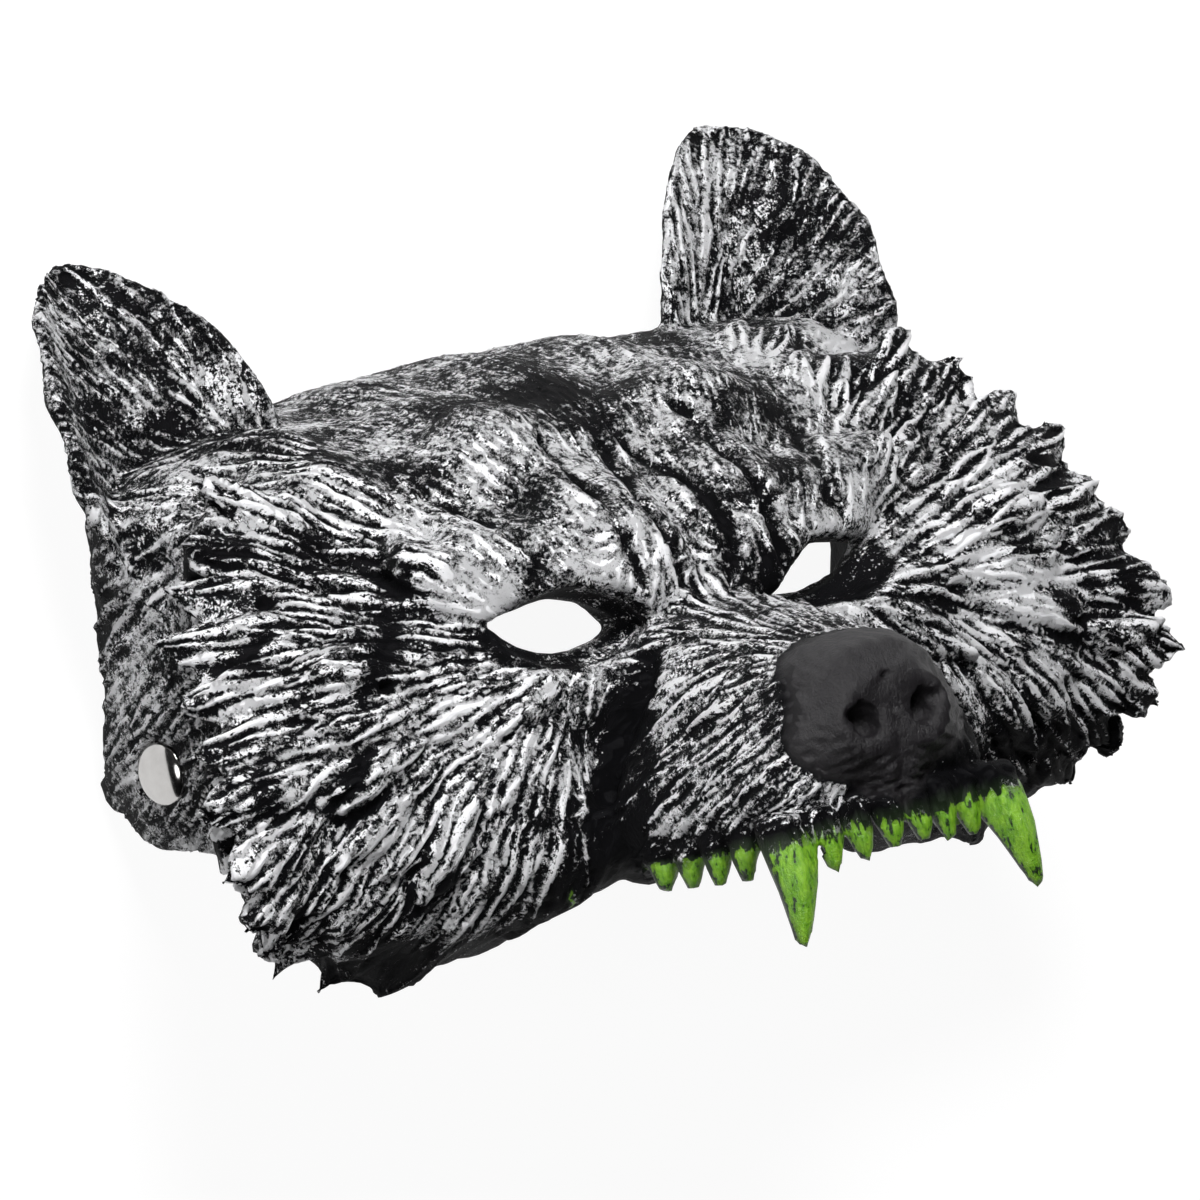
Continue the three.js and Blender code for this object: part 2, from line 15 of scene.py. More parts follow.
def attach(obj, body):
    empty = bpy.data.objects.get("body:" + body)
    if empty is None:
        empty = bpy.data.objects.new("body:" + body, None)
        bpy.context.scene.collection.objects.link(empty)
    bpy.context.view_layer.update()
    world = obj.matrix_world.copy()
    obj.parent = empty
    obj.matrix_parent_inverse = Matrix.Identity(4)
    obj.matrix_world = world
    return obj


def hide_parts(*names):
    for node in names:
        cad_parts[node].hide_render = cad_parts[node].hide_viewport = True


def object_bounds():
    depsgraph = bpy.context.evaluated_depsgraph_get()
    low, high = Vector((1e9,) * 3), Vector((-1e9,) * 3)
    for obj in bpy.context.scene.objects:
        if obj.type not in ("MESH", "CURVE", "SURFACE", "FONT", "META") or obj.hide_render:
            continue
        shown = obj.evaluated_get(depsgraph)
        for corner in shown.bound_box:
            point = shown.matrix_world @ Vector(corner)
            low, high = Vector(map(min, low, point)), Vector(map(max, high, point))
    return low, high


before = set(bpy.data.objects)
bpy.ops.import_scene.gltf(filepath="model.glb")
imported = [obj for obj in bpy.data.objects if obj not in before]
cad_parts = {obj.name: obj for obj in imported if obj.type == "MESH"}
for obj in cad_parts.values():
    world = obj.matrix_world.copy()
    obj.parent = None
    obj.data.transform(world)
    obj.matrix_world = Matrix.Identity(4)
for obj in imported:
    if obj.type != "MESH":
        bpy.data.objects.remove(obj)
CAD_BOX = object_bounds()

MM = 0.001
# The origin of the face's own frame lies this far below the middle of the CAD box
FACE_SHIFT = np.array([0, 13.02, 0])
RNG = np.random.default_rng(20)

# Camera, in metres unless a name ends in MM
PHOTO_WIDTH_MM = 265.5
SENSOR_WIDTH_MM = 36
CAMERA_DISTANCE = 3.0
CAMERA_FROM = Vector((-0.539, 0.044, 0.841))
CAMERA_UP = Vector((0.196, 0.978, 0.075))
CAMERA_TARGET_MM = Vector((-15.4, 3.5 - FACE_SHIFT[1], 84.9))

# Floor and lights, in metres; a light is its place, size and power
FLOOR_HALF_SIZE = 4.0
FLOOR_TONE = (0.14, 0.14, 0.14, 1)
FLOOR_GLOW = 0.93
KEY_LIGHT = ((-0.25, 1.15, 1.35), 0.7, 32)
FILL_LIGHT = ((-1.4, -0.1, 1.2), 1.0, 9)
LIGHT_AIM = (0, 0, 0.08)
SKY_GLOW_BELOW = 0.06
SKY_GLOW_MORE_ABOVE = 0.62

# Fineness of the carved mesh, in metres
VOXEL = 0.85 * MM
COARSE_VOXEL = 1.3 * VOXEL
MOST_TRIANGLES = 196000


def smooth(value, low, high):
    t = np.clip((value - low) / (high - low), 0, 1)
    return t * t * (3 - 2 * t)


def unit(vectors):
    return vectors / np.maximum(np.linalg.norm(vectors, axis=-1, keepdims=True), 1e-9)


def to_face(points):
    return points / MM + FACE_SHIFT


def to_frame(points):
    return (points - FACE_SHIFT) * MM


# Node helpers

def node(tree, kind, **values):
    made = tree.nodes.new(kind)
    for key, value in values.items():
        setattr(made, key, value)
    return made


def attribute(tree, name):
    return node(tree, "ShaderNodeAttribute", attribute_name=name)


def maths(tree, operation, first, second, third=None):
    made = node(tree, "ShaderNodeMath", operation=operation)
    for socket, value in zip(made.inputs, (first, second, third)):
        if value is None:
            continue
        if isinstance(value, (int, float)):
            socket.default_value = value
        else:
            tree.links.new(value, socket)
    return made.outputs[0]


def ramp(tree, value, low, high):
    made = node(tree, "ShaderNodeMapRange", interpolation_type="SMOOTHSTEP")
    made.inputs["From Min"].default_value = low
    made.inputs["From Max"].default_value = high
    tree.links.new(value, made.inputs["Value"])
    return made.outputs["Result"]


# Camera, floor and light

def make_camera():
    data = bpy.data.cameras.new("photo_camera")
    data.sensor_width = SENSOR_WIDTH_MM
    data.lens = SENSOR_WIDTH_MM * CAMERA_DISTANCE / (PHOTO_WIDTH_MM * MM)
    data.clip_end = 20
    camera = bpy.data.objects.new("photo_camera", data)
    back = CAMERA_FROM.normalized()
    right = CAMERA_UP.cross(back).normalized()
    up = back.cross(right).normalized()
    placed = Matrix((right, up, back)).transposed().to_4x4()
    placed.translation = CAMERA_TARGET_MM * MM + back * CAMERA_DISTANCE
    camera.matrix_world = placed
    bpy.context.collection.objects.link(camera)
    bpy.context.scene.camera = camera


def make_floor():
    half = FLOOR_HALF_SIZE
    corners = [(-half, -half, 0), (half, -half, 0), (half, half, 0), (-half, half, 0)]
    mesh = bpy.data.meshes.new("floor")
    mesh.from_pydata(corners, [], [(0, 1, 2, 3)])
    floor = bpy.data.objects.new("floor", mesh)
    bpy.context.collection.objects.link(floor)
    paint = bpy.data.materials.new("pale_floor")
    paint.use_nodes = True
    shader = paint.node_tree.nodes["Principled BSDF"]
    shader.inputs["Base Color"].default_value = FLOOR_TONE
    shader.inputs["Roughness"].default_value = 0.9
    shader.inputs["Emission Color"].default_value = (1, 1, 1, 1)
    shader.inputs["Emission Strength"].default_value = FLOOR_GLOW
    mesh.materials.append(paint)
    floor.visible_diffuse = False


def area_light(name, place, size, power):
    data = bpy.data.lights.new(name, "AREA")
    data.shape = "DISK"
    data.size = size
    data.energy = power
    light = bpy.data.objects.new(name, data)
    light.location = place
    light.rotation_euler = (Vector(place) - Vector(LIGHT_AIM)).to_track_quat("Z", "Y").to_euler()
    bpy.context.collection.objects.link(light)


def make_light():
    world = bpy.data.worlds.new("studio")
    world.use_nodes = True
    tree = world.node_tree
    direction = tree.nodes.new("ShaderNodeTexCoord").outputs["Generated"]
    upward = node(tree, "ShaderNodeVectorMath", operation="DOT_PRODUCT")
    upward.inputs[1].default_value = CAMERA_UP
    tree.links.new(direction, upward.inputs[0])
    height = ramp(tree, upward.outputs["Value"], -0.5, 0.7)
    glow = maths(tree, "MULTIPLY_ADD", height, SKY_GLOW_MORE_ABOVE, SKY_GLOW_BELOW)
    tree.links.new(glow, tree.nodes["Background"].inputs["Strength"])
    bpy.context.scene.world = world
    area_light("key", *KEY_LIGHT)
    area_light("fill", *FILL_LIGHT)
    bpy.context.scene.view_settings.view_transform = "Standard"


# The mask's own forms, for telling one region from another

def blob(p, middle, radii, roundness=2.0):
    """Distance to a squared-off ball."""
    q = np.abs((p - np.array(middle)) / np.array(radii))
    g = np.maximum((q ** roundness).sum(axis=1), 1e-9) ** (1 / roundness)
    slope = np.linalg.norm((q / g[:, None]) ** (roundness - 1) / np.array(radii), axis=1)
    return (g - 1) / slope


def roll(p, start, end, start_radius, end_radius):
    """Distance to a round bar that tapers."""
    start = np.array(start, dtype=float)
    along = np.array(end) - start
    t = np.clip((p - start) @ along / (along @ along), 0, 1)
    gap = np.linalg.norm(p - start - t[:, None] * along, axis=1)
    return gap - start_radius - (end_radius - start_radius) * t


def melt(a, b, reach):
    """Joins two forms, with a soft fillet where they meet."""
    h = np.maximum(reach - np.abs(a - b), 0) / reach
    return np.minimum(a, b) - h * h * reach / 4


def folded(points):
    return np.column_stack([np.abs(points[:, 0]), points[:, 1], points[:, 2]])


def head_distance(p):
    skull = blob(p, (0, -5, 0), (103, 66, 88), 2.6)
    cheek = blob(p, (80, -22, 80), (43, 36, 16), 2.4)
    ear_root = blob(p, (72, 37, 26), (33, 18, 21), 2.2)
    jowl = blob(p, (68, -44, 66), (34, 19, 20), 2.2)
    mouth_edge = roll(p, (56, -55, 68), (35, -46, 106), 12, 8)
    under_eye = blob(p, (50, -28, 86), (21, 28, 19))
    temple = blob(p, (76, 22, 60), (33, 21, 11), 2.2)
    form = melt(skull, cheek, 16)
    form = melt(form, ear_root, 12)
    form = melt(form, jowl, 14)
    form = melt(form, mouth_edge, 8)
    form = melt(form, under_eye, 12)
    return melt(form, temple, 12)


def snout_distance(p):
    t = np.clip((p[:, 2] - 80) / 66, 0, 1)
    shifted = p - np.column_stack([np.zeros(len(p)), -24 - 9 * t, 80 + 66 * t])
    q = np.abs(shifted / np.column_stack([38 - 13 * t, 31 - 11 * t, np.full(len(p), 18.0)]))
    tube = ((q ** 2.3).sum(axis=1) ** (1 / 2.3) - 1) * 20
    back_lip = blob(p, (28, -45, 108), (12, 15, 24))
    front_lip = blob(p, (19, -45, 137), (14, 14, 24))
    return melt(melt(tube, back_lip, 10), front_lip, 8)


def nose_distance(p):
    pad = blob(p, (0, -27, 154), (18.5, 15, 14), 2.6)
    wing = blob(p, (11, -34, 158), (11, 10, 9))
    lip = roll(p, (0, -40, 158), (0, -48, 155), 9, 10)
    return melt(melt(pad, wing, 5), lip, 6)


def line_distance(p, line):
    """Distance from each point to a bent line, and how far along the line the nearest place is, 0 to 1."""
    line = np.array(line, dtype=float)
    best = np.full(len(p), 1e9)
    along = np.zeros(len(p))
    for i in range(len(line) - 1):
        step = line[i + 1] - line[i]
        t = np.clip((p - line[i]) @ step / (step @ step), 0, 1)
        gap = np.linalg.norm(p - line[i] - t[:, None] * step, axis=1)
        nearer = gap < best
        best[nearer] = gap[nearer]
        along[nearer] = (i + t[nearer]) / (len(line) - 1)
    return best, along


# Turning the CAD solid into a fine mesh

def read_points(mesh):
    flat = np.empty(len(mesh.vertices) * 3, dtype=np.float32)
    mesh.vertices.foreach_get("co", flat)
    return flat.reshape(-1, 3).astype(np.float64)


def write_points(mesh, points):
    mesh.vertices.foreach_set("co", points.astype(np.float32).ravel())
    mesh.update()


def read_normals(mesh):
    flat = np.empty(len(mesh.vertices) * 3, dtype=np.float32)
    mesh.vertex_normals.foreach_get("vector", flat)
    return flat.reshape(-1, 3).astype(np.float64)


def with_modifier(mesh, name, kind, **settings):
    holder = bpy.data.objects.new(name, mesh)
    bpy.context.collection.objects.link(holder)
    modifier = holder.modifiers.new(kind.lower(), kind)
    for key, value in settings.items():
        setattr(modifier, key, value)
    graph = bpy.context.evaluated_depsgraph_get()
    made = bpy.data.meshes.new_from_object(holder.evaluated_get(graph))
    bpy.data.objects.remove(holder)
    made.name = name
    return made


class Net:
    """The mesh's edges, for averaging over neighbours."""

    def __init__(self, mesh):
        flat = np.empty(len(mesh.edges) * 2, dtype=np.int32)
        mesh.edges.foreach_get("vertices", flat)
        edges = flat.reshape(-1, 2)
        self.a = np.concatenate([edges[:, 0], edges[:, 1]])
        self.b = np.concatenate([edges[:, 1], edges[:, 0]])
        self.count = len(mesh.vertices)
        self.near = np.maximum(np.bincount(self.a, minlength=self.count), 1)

    def mean(self, values):
        if values.ndim == 1:
            return np.bincount(self.a, weights=values[self.b], minlength=self.count) / self.near
        columns = [self.mean(values[:, k]) for k in range(values.shape[1])]
        return np.column_stack(columns)

    def blur(self, values, rounds):
        for _ in range(rounds):
            values = 0.5 * values + 0.5 * self.mean(values)
        return values


def relax(points, net, strength, rounds):
    """Smooths facets away and keeps the volume: each shrinking step is followed by a swelling one."""
    weight = strength[:, None]
    for _ in range(rounds):
        points = points + 0.6 * weight * (net.mean(points) - points)
        points = points - 0.62 * weight * (net.mean(points) - points)
    return points


def tree_of(points):
    tree = kdtree.KDTree(len(points))
    for i, p in enumerate(points):
        tree.insert(p, i)
    tree.balance()
    return tree


# Teeth on one half of the face

# Root, tip and radius
FANG = ((27, -50, 155), (32.3, -76.0, 161.6), 6.8)
FRONT_TEETH = 3
FRONT_TOOTH_RADIUS = 3.9
SIDE_TEETH = 4
SIDE_TOOTH_RADIUS = 4.2
# How far down the green begins
GUM_LINE = (53.2, 54.2)
# How far the green reaches out past a tooth's cone, and how much fatter the skin makes a tooth
TOOTH_MARGIN = 0.6
FANG_MARGIN = 2.6
TOOTH_SWELL = 0.6


def teeth_on_one_side():
    teeth = [FANG]
    for i in range(FRONT_TEETH):
        root = (FRONT_TOOTH_RADIUS + 7.2 * i, -50, 161 - 1.4 * i)
        tip = (FRONT_TOOTH_RADIUS + 7.5 * i, -62 - i, 163 - 1.4 * i)
        teeth.append((root, tip, FRONT_TOOTH_RADIUS))
    for i in range(SIDE_TEETH):
        t = i / (SIDE_TEETH - 1)
        root = (29 + 5 * t, -48 - 3 * t, 142 - 25 * t)
        tip = (root[0] + 1.5, root[1] - 15 + 4 * t, root[2] + 1)
        teeth.append((root, tip, SIDE_TOOTH_RADIUS))
    return teeth


def tooth_share(points):
    """1 on a tooth and 0 off it, and the way straight out from the middle of the nearest tooth."""
    p = folded(points)
    share = np.zeros(len(p))
    outward = np.zeros((len(p), 3))
    for root, tip, radius in teeth_on_one_side():
        root = np.array(root, dtype=float)
        axis = np.array(tip) - root
        t = np.clip((p - root) @ axis / (axis @ axis), 0, 1)
        offset = p - root - t[:, None] * axis
        gap = np.linalg.norm(offset, axis=1)
        margin = FANG_MARGIN if radius == FANG[2] else TOOTH_MARGIN
        size = radius * (1 - t ** 1.5) ** 0.9 + margin
        inside = 1 - smooth(gap, size, size + 0.6)
        inside *= smooth(-p[:, 1], *GUM_LINE)
        nearer = inside > share
        share[nearer] = inside[nearer]
        outward[nearer] = offset[nearer] / np.maximum(gap[nearer], 0.3)[:, None]
    outward[:, 0] *= np.where(points[:, 0] >= 0, 1.0, -1.0)
    return share, outward


# Where each region lies

EAR_FUR_ROOT = (56, 40, 31)
EYE_FUR_ROOT = (31, -3)
EYE_SOCKET = ((35, 1, 99), (19, 9, 10))
# The line where the ear leaves the head
EAR_FOOT_X = [40, 60, 80, 100, 120]
EAR_FOOT_Y = [62, 55, 51, 47, 47]
# Borders over which one region fades into the next
LINING_FROM_DEPTH = (4.2, 5.6)
NOSE_TO_DISTANCE = (0.2, 1.2)
MUZZLE_FROM_Z = (98, 108)
MUZZLE_TO_X = (40, 46)
EAR_FROM_X = (42, 48)
EAR_FROM_FOOT = (-1, 3)
FOREHEAD_FROM_Y = (6, 16)
FOREHEAD_TO_X = (50, 66)
SIDE_TO_Z = (44, 56)
SIDE_FROM_X = (74, 86)
SOCKET_TO_DISTANCE = (0.0, 2.0)
BARE_TO_DISTANCE = (0.0, 3.5)


class Regions:
    """Each region of the mask as a weight from 0 to 1 at every point."""

    def __init__(self, points):
        p = folded(points)
        x, y, z = p.T
        head = smooth(-head_distance(p), *LINING_FROM_DEPTH)
        snout = smooth(-snout_distance(p), *LINING_FROM_DEPTH)
        lining = np.maximum(head, snout)
        self.nose = 1 - smooth(nose_distance(p), *NOSE_TO_DISTANCE)
        self.teeth, self.tooth_outward = tooth_share(points)
        self.muzzle = smooth(z, *MUZZLE_FROM_Z) * (1 - smooth(x, *MUZZLE_TO_X))
        above = y - np.interp(x, EAR_FOOT_X, EAR_FOOT_Y)
        self.ear = smooth(above, *EAR_FROM_FOOT) * smooth(x, *EAR_FROM_X)
        self.inner = np.clip(lining * (1 - self.ear), 0, 1)
        upper_middle = smooth(y, *FOREHEAD_FROM_Y) * (1 - smooth(x, *FOREHEAD_TO_X))
        self.forehead = upper_middle * (1 - self.muzzle) * (1 - self.ear)
        outer_back = (1 - smooth(z, *SIDE_TO_Z)) * smooth(x, *SIDE_FROM_X)
        self.side = outer_back * (1 - self.ear) * (1 - self.forehead)
        self.cheek = np.clip(1 - self.muzzle - self.forehead - self.side - self.ear, 0, 1)
        from_socket = blob(p, *EYE_SOCKET)
        self.socket = 1 - smooth(from_socket, *SOCKET_TO_DISTANCE)
        around_eye = 1 - smooth(from_socket, *BARE_TO_DISTANCE)
        self.bare = np.maximum.reduce([self.inner, self.nose, self.teeth, around_eye])


def fur_flow(points, normals, regions):
    """Which way the fur lies at each point, along the surface."""
    p = folded(points)
    x, y, z = p.T
    one = np.ones(len(p))
    across = x - EYE_FUR_ROOT[0]
    upward = y - EYE_FUR_ROOT[1]
    run = np.hypot(across, upward)
    droop = 0.55 * run * smooth(-y, 12, 50)
    cheek = unit(np.column_stack([across, upward - droop, -0.3 * run]))
    down = 0.62 * smooth(x, 3, 20)
    muzzle = unit(np.column_stack([0.12 * one, -down, -one]))
    forehead = unit(np.column_stack([0.010 * x, 0.8 * one, -0.7 * one]))
    flank = unit(np.column_stack([0.1 * one, -0.45 * one, -0.9 * one]))
    ear = unit(p - np.array(EAR_FUR_ROOT))
    flow = (
        cheek * regions.cheek[:, None]
        + muzzle * regions.muzzle[:, None]
        + forehead * regions.forehead[:, None]
        + flank * regions.side[:, None]
        + ear * regions.ear[:, None] * 2
    )
    flow[:, 0] *= np.where(points[:, 0] >= 0, 1.0, -1.0)
    flow -= normals * (flow * normals).sum(axis=1)[:, None]
    return unit(flow)


# Folds, rolls and webs of foam

FOLDS = [
    # line on one half of the face, depth, width
    ([(17, 4, 105), (19, 16, 106), (19, 28, 96), (19, 40, 82), (14, 51, 56)], 2.6, 1.3),
    ([(6, 2, 107), (8, 13, 106), (8, 24, 97), (3, 35, 80), (1, 48, 67)], 2.4, 1.3),
    ([(4, -1, 109), (6, 8, 105), (7, 18, 102)], 1.2, 1.0),
    ([(52, 6, 87), (39, 16, 100), (43, 26, 88), (49, 31, 77)], 1.8, 1.6),
    ([(69, 27, 73), (68, 16, 88), (78, 5, 94), (89, -6, 98), (96, -11, 98)], 1.6, 2.6),
    ([(21, -7, 112), (29, -16, 114), (33, -26, 109), (38, -38, 106), (37, -49, 98)], 4.0, 3.2),
    ([(20, -7, 99), (30, -11, 101), (44, -10, 99), (54, -4, 94)], 1.2, 1.1),
]


def fold_relief(points):
    """Narrow creases between soft, broad swellings."""
    p = folded(points)
    relief = np.zeros(len(p))
    for line, depth, width in FOLDS:
        gap, along = line_distance(p, line)
        fade = smooth(along, 0, 0.12) * (1 - smooth(along, 0.75, 1.0))
        relief -= depth * fade * np.exp(-((gap / width) ** 2))
        relief += 0.12 * depth * fade * np.exp(-(((gap - 3.2 * width) / (1.8 * width)) ** 2))
    return relief


ROLLS = [
    # line on one half of the face, height over the CAD form, width
    ([(16, 7, 104), (26, 8, 104), (38, 10, 101), (50, 13, 95)], 2.4, 5.0),
    ([(30, 22, 96), (34, 34, 84), (36, 44, 70)], 1.6, 8.0),
    ([(10, 10, 104), (13, 24, 96), (9, 40, 80)], 1.4, 5.0),
    ([(46, 24, 86), (56, 34, 72), (62, 44, 56)], 1.6, 7.0),
]


def swelling(points):
    p = folded(points)
    rise = np.zeros(len(p))
    for line, height, width in ROLLS:
        gap, along = line_distance(p, line)
        fade = 1 - smooth(along, 0.8, 1.0) * 0.6
        rise = np.maximum(rise, height * np.exp(-((gap / width) ** 2)) * fade)
    return rise


# Webs of foam join the ruffs' tips: the form is swollen this much there, and shrunk again
WEB = 2.4


def ruff_share(points):
    """1 on the ruffs' outer parts, and up to 1.7 at their foot, where the webs are thickest."""
    p = folded(points)
    edge = 72 - 20 * smooth(-p[:, 1], 38, 52)
    share = smooth(p[:, 0], edge, edge + 12) * smooth(p[:, 2], 44, 54) * (1 - smooth(p[:, 1], 44, 50))
    return share * (1 + 0.7 * smooth(-p[:, 1], 50, 60))


# Small shifts of the form, given for each side on its own

EDGE_SHIFTS = [
    # line on one side, reach, shift
    ([(-102, -22, 5), (-106, -23, 2)], 9.0, (2.0, 2.2, 0)),
    ([(102, -22, 5), (106, -23, 2)], 9.0, (-2.0, 2.2, 0)),
    ([(-56, 60, 28), (-37, 57, 35), (-24, 58, 42)], 10.0, (0, -2.0, 0)),
    ([(-107, -60, 76), (-99, -66, 73)], 8.0, (0, 3.5, 0)),
]
BROW_DROPS = [
    # line on one side, how far the brow hangs down
    ([(-18, 3, 104), (-27, 6, 101), (-38, 9, 98), (-46, 11, 94)], 2.4),
    ([(18, 3, 105), (27, 6, 102), (38, 9, 98), (46, 11, 94)], 5.0),
]
BROW_REACH = 7.0
LIP_LIFT = 2.6


def sag(points):
    """The brows hang down and forwards, the lip is drawn up off the front teeth, and a few edges shift."""
    moved = np.zeros((len(points), 3))
    for line, reach, shift in EDGE_SHIFTS:
        gap, _ = line_distance(points, line)
        moved += np.exp(-((gap / reach) ** 2))[:, None] * np.array(shift)
    for line, drop in BROW_DROPS:
        gap, _ = line_distance(points, line)
        weight = drop * np.exp(-((gap / BROW_REACH) ** 2))
        moved[:, 1] -= weight
        moved[:, 2] += 0.4 * weight
    lip = smooth(points[:, 2], 132, 148) * smooth(-points[:, 1], 42, 53)
    moved[:, 1] += LIP_LIFT * lip
    return moved


# Pinholes left by the casting

PINHOLES = [
    # middle, radius
    ((-98.6, 19.7, 82), 1.5),
    ((-82.5, -3.3, 96.7), 1.2),
    ((-66.8, 19.2, 87.7), 0.8),
    ((-0.6, -22.4, 167.6), 0.8),
]
PINHOLE_SQUASH = (0.7, 1.2, 0.15)
PINHOLE_DEPTH = 2.6


def pinhole_share(points):
    share = np.zeros(len(points))
    for middle, radius in PINHOLES:
        gap = np.linalg.norm((points - np.array(middle)) * np.array(PINHOLE_SQUASH), axis=1)
        share = np.maximum(share, np.exp(-((gap / radius) ** 4)))
    return share


# The nose

NOSE_LINES = [
    # line on one half of the nose, height, width: the nostril, the groove, then folds beside them
    ([(7.5, -31, 170), (11.5, -29.0, 167), (14.5, -31.5, 163), (16, -36, 159)], -2.2, 1.3),
    ([(0, -29, 169), (0, -38, 169), (0, -50, 165)], -1.8, 1.2),
    ([(3.4, -37, 169), (4.0, -44, 167), (3.0, -50, 165)], 1.0, 1.6),
    ([(6, -40, 168), (10, -43, 165), (13, -48, 162)], -1.2, 1.1),
    ([(12, -38, 164), (16, -42, 160), (18, -47, 157)], -1.0, 1.2),
    ([(2, -22, 168), (7, -21, 166), (13, -23, 161)], 0.8, 2.6),
]
NOSTRIL_MIDDLE = (7.6, -31)
NOSTRIL_STRETCH = 1.15
NOSTRIL_RIM_RADIUS = 5.6
NOSTRIL_RIM_WIDTH = 1.5
NOSTRIL_RIM_HEIGHT = 1.9
NOSE_GRAIN_HEIGHT = 0.3
NOSE_PLEAT_HEIGHT = 0.22


def nose_relief(points):
    """Comma-shaped nostrils with raised rims, a groove down the middle, folds beside it and fine grain."""
    p = folded(points)
    x, y, z = p.T
    relief = np.zeros(len(p))
    for line, height, width in NOSE_LINES:
        gap, along = line_distance(p, line)
        relief += height * np.exp(-((gap / width) ** 2)) * (1 - 0.5 * along)
    from_nostril = np.hypot(x - NOSTRIL_MIDDLE[0], (y - NOSTRIL_MIDDLE[1]) / NOSTRIL_STRETCH)
    rim = np.exp(-(((from_nostril - NOSTRIL_RIM_RADIUS) / NOSTRIL_RIM_WIDTH) ** 2))
    relief += NOSTRIL_RIM_HEIGHT * rim * smooth(z, 158, 163)
    grain = np.sin(1.1 * x + 1.7 * np.sin(0.5 * y)) * np.sin(1.3 * y + 0.8 * z)
    pleat = np.sin(2.3 * y + 1.6 * np.sin(0.7 * x + 0.4 * z))
    return relief + NOSE_GRAIN_HEIGHT * grain + NOSE_PLEAT_HEIGHT * pleat * smooth(-y, 24, 34)


# Big clumps of fur, placed one by one

CLUMPS = [
    # line from root to tip on one half of the face, half width, height at the tip
    ([(94, -13, 98), (109, -18, 95), (123, -27, 82)], 6.0, 3.6),
    ([(115, -31, 97), (118, -42, 91), (113, -55, 78)], 6.5, 3.4),
    ([(97, -46, 92), (96, -55, 85), (91, -66, 71)], 7.0, 3.4),
    ([(69, -28, 101), (76, -40, 99), (83, -50, 93)], 4.6, 3.4),
    ([(71, -9, 98), (87, -20, 100), (99, -27, 96)], 4.8, 3.0),
    ([(84, 8, 92), (98, 8, 88), (112, 6, 82)], 5.5, 2.4),
    ([(78, 26, 70), (92, 28, 66), (104, 30, 66)], 5.5, 2.2),
    ([(60, -30, 98), (62, -42, 92), (64, -56, 82)], 5.0, 3.0),
]


def clump_relief(points):
    """How far the big clumps stand up, and how deep in their shadow a point beside them lies, 0 to 1."""
    p = folded(points)
    rise = np.zeros(len(p))
    shade = np.zeros(len(p))
    for line, half_width, tall in CLUMPS:
        gap, along = line_distance(p, line)
        half = half_width * np.sqrt(np.clip(along / 0.15, 0.05, 1)) * (1 - 0.65 * along ** 3)
        top = 1 - smooth(gap / half, 0.65, 1.05)
        rise = np.maximum(rise, 1.35 * tall * (0.2 + 0.8 * along) * top)
        beside = smooth(along, 0.35, 0.8) * (1 - smooth(gap - half, 1.0, 3.5)) * (1 - top)
        shade = np.maximum(shade, beside)
        shade *= 1 - top
    return rise, shade


# Strands, pressed over each other along the fur's lie

STRAND_KINDS = [
    # region, length, half width, height, and how far apart neighbours stay: across in half widths and
    # along in lengths
    ("cheek", 36.0, 7.0, 3.2, 1.6, 0.55),
    ("cheek", 34.0, 1.3, 1.2, 1.25, 0.45),
    ("muzzle", 18.0, 1.15, 0.9, 1.3, 0.45),
    ("side", 22.0, 1.2, 0.6, 1.5, 0.5),
    ("ear", 24.0, 1.0, 0.6, 1.5, 0.45),
    ("forehead", 11.0, 1.1, 0.4, 1.4, 0.5),
]
# A wider kind than this makes clumps, under the strands
CLUMP_HALF_WIDTH = 4
MOST_SEEDS = 60000

# How a strand's line is followed over the mesh
STEPS_TO_A_STRAND = 12
SHORTEST_STEP = 1.5
LONGEST_HOP = 3
LEAST_FACING = 0.2
PULL_BACK = 0.6
TURN_AT_EACH_STEP = 0.08
SWAY = 0.2
SWAY_PACE = 0.8
FEWEST_PLACES = 4

# Chance in a strand: its size, mostly near the smallest, and how strongly it turns
SMALLEST_SIZE = 0.65
SIZE_SPREAD = 0.95
TURN_SPREAD = 1.2
# How far apart the noise reads two strands, so that their hairs differ
NOISE_GAP = 3.7


def scatter(points, flow, normals, weight, across_gap, along_gap):
    """Seeds in a chance order, none too close to another beside it or before it."""
    across = np.cross(normals, flow)
    order = RNG.permutation(len(points))
    order = order[weight[order] > 0.5][:MOST_SEEDS]
    grid = {}

    def crowded(i, cell):
        for way in itertools.product((-1, 0, 1), repeat=3):
            for j in grid.get((cell[0] + way[0], cell[1] + way[1], cell[2] + way[2]), ()):
                gap = points[j] - points[i]
                if abs(gap @ across[i]) < across_gap and abs(gap @ flow[i]) < along_gap:
                    if abs(gap @ normals[i]) < along_gap:
                        return True
        return False

    seeds = []
    for i in order:
        cell = tuple(int(v // along_gap) for v in points[i])
        if not crowded(i, cell):
            grid.setdefault(cell, []).append(i)
            seeds.append(i)
    return seeds


def trace(seed, points, flow, normals, tree, length, turn, phase):
    """A line through the seed that follows the fur's lie and sways about it."""
    step = max(length / STEPS_TO_A_STRAND, SHORTEST_STEP)
    halves = []
    for way in (-1, 1):
        place = points[seed]
        at = seed
        half = []
        for k in range(int(length / 2 / step)):
            bend = turn * k * TURN_AT_EACH_STEP + SWAY * way * math.sin(SWAY_PACE * way * k + phase)
            heading = flow[at] + bend * np.cross(normals[at], flow[at])
            place = place + way * step * heading / np.linalg.norm(heading)
            _, nearest, gap = tree.find(place)
            if gap > LONGEST_HOP or normals[nearest] @ normals[at] < LEAST_FACING:
                break
            at = nearest
            place = points[at] + (place - points[at]) * PULL_BACK
            place = place - normals[at] * ((place - points[at]) @ normals[at])
            half.append((place, at))
        halves.append(half)
    return halves[0][::-1] + [(points[seed], seed)] + halves[1]


